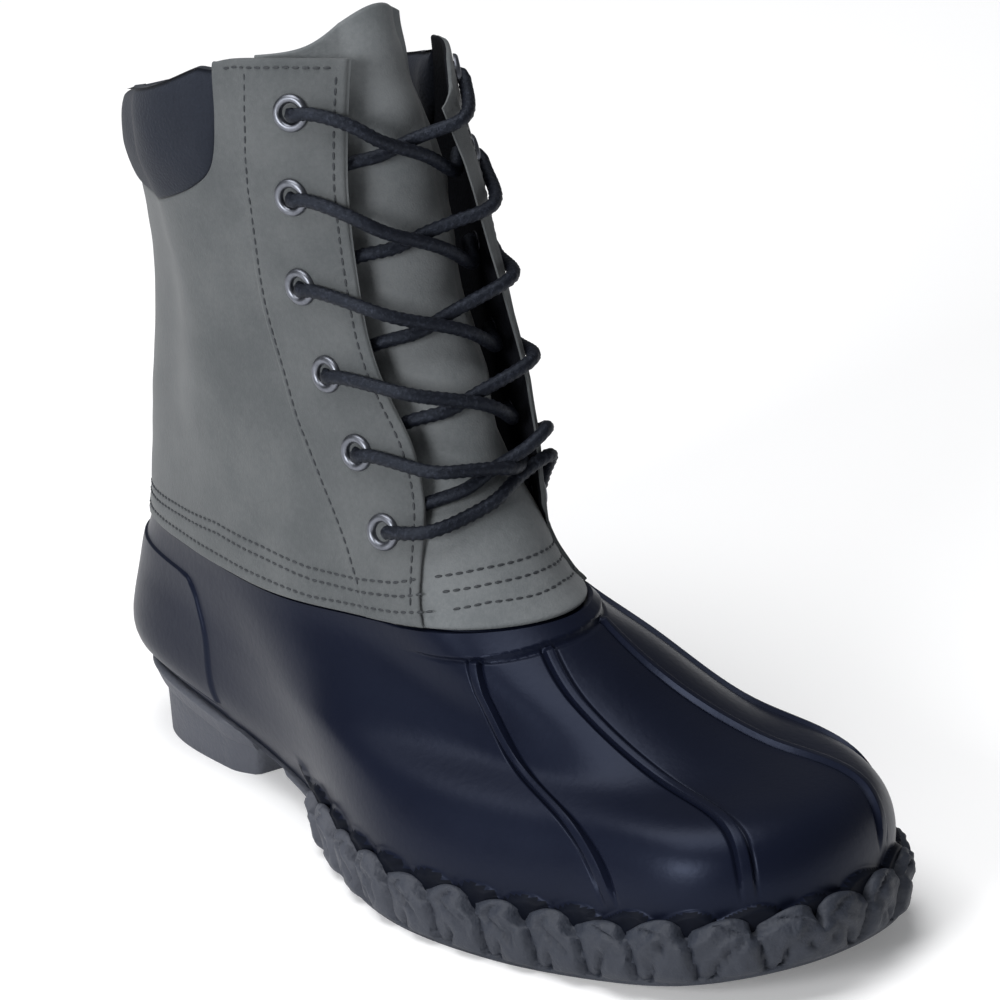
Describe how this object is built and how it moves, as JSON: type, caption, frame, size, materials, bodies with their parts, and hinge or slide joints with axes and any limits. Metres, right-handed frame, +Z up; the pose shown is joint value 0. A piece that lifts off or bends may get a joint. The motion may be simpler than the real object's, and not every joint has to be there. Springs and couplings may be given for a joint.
{
  "type": "duck boot",
  "caption": "Right duck boot with a glossy moulded rubber bottom, scalloped foxing, laced leather shaft, tongue and padded collar",
  "frame": {"origin": "middle of the bounding box on the floor under the sole", "axes": "+X from heel to toe, +Y to the inner (medial) side of the foot, +Z up"},
  "size_m": [0.3128, 0.1284, 0.2496],
  "materials": {
    "outsole_rubber": "matte dark grey moulded rubber",
    "glossy_rubber": "glossy near-black moulded rubber",
    "grey_leather": "mid grey nubuck leather",
    "tongue_leather": "mid grey nubuck leather",
    "foot_bed": "dark fabric over foam",
    "pad_fabric": "dark padded fabric",
    "eyelet_metal": "dark nickel",
    "lace_cord": "braided black cord"
  },
  "bodies": {
    "root": {"outsole": "outsole_rubber", "upper_rubber_shell": "glossy_rubber", "upper_leather_shaft": "grey_leather", "tongue": "tongue_leather", "insole": "foot_bed", "collar_pad": "pad_fabric", "eyelet_lateral_1": "eyelet_metal", "eyelet_lateral_2": "eyelet_metal", "eyelet_lateral_3": "eyelet_metal", "eyelet_lateral_4": "eyelet_metal", "eyelet_lateral_5": "eyelet_metal", "eyelet_lateral_6": "eyelet_metal", "eyelet_medial_1": "eyelet_metal", "eyelet_medial_2": "eyelet_metal", "eyelet_medial_3": "eyelet_metal", "eyelet_medial_4": "eyelet_metal", "eyelet_medial_5": "eyelet_metal", "eyelet_medial_6": "eyelet_metal", "lace_bar": "lace_cord", "lace_crossing_1": "lace_cord", "lace_crossing_2": "lace_cord", "lace_crossing_3": "lace_cord", "lace_crossing_4": "lace_cord", "lace_crossing_5": "lace_cord"}
  },
  "joints": []
}
